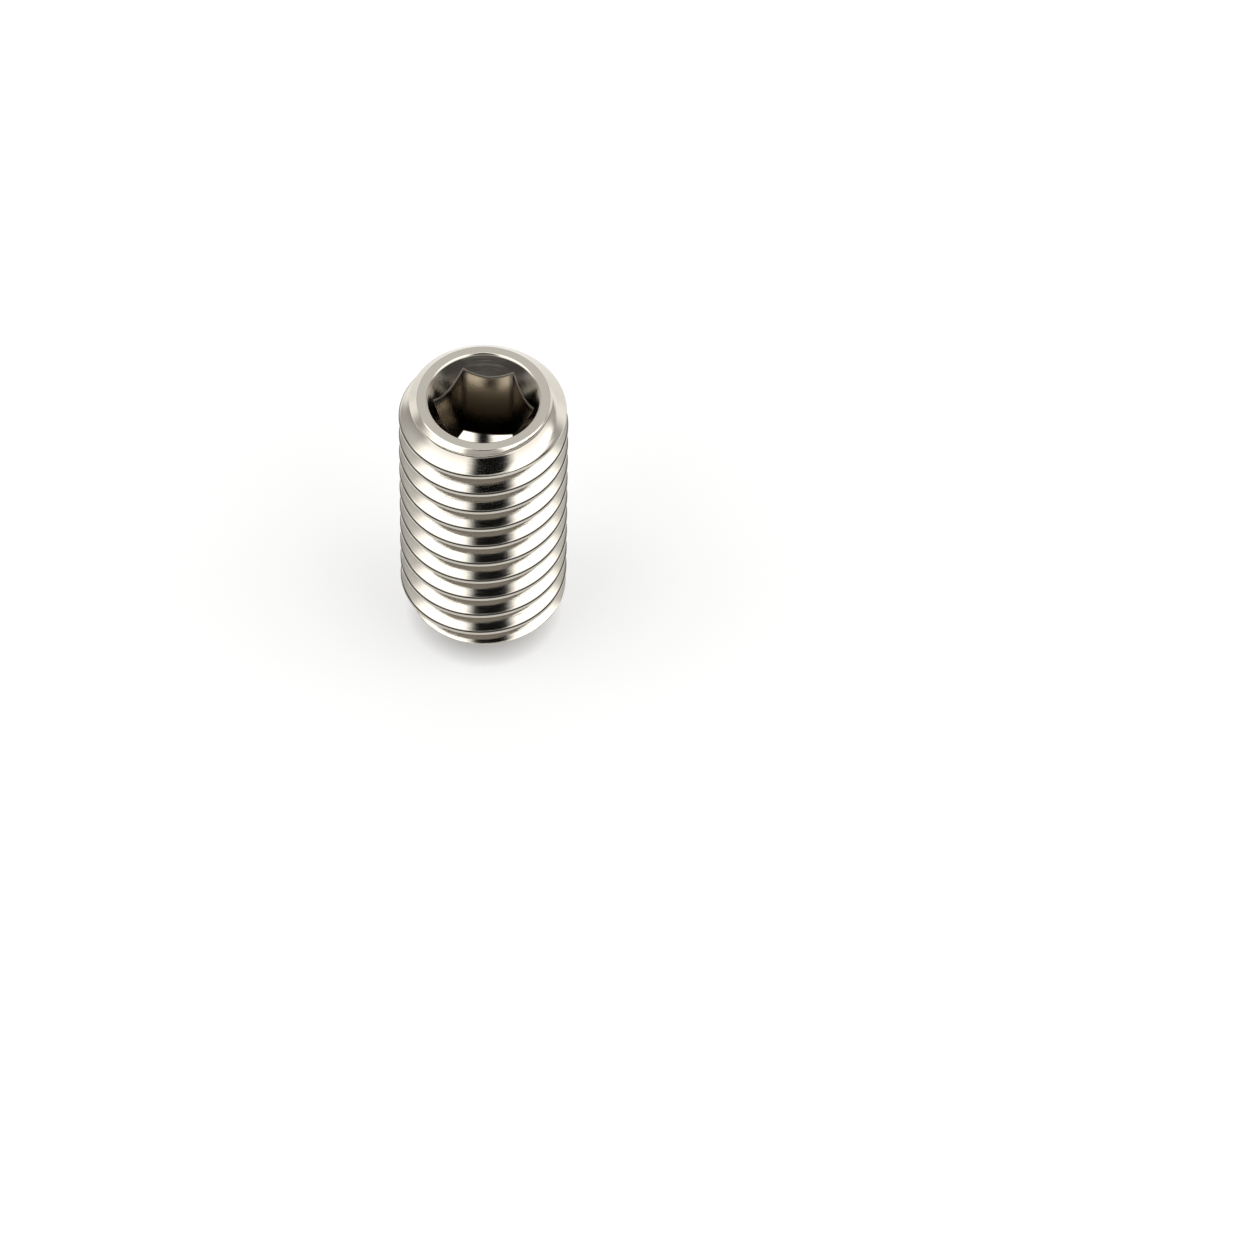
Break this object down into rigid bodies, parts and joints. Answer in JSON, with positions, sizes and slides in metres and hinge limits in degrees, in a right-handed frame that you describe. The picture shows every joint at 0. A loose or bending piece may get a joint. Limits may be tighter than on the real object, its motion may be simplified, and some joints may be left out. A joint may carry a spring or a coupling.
{
  "type": "grub set screw",
  "caption": "Headless threaded screw with a hex socket in one end and a chamfered cup point on the other.",
  "frame": {"origin": "middle of the point's end, on the surface that the screw stands on", "axes": "+Z along the screw's axis from the point to the socket end; -Y is the side that the picture shows"},
  "size_m": [0.006, 0.006, 0.012],
  "materials": {
    "steel": "polished stainless steel, bright, with fine turning marks"
  },
  "bodies": {
    "root": {"set_screw": "steel"}
  },
  "joints": []
}
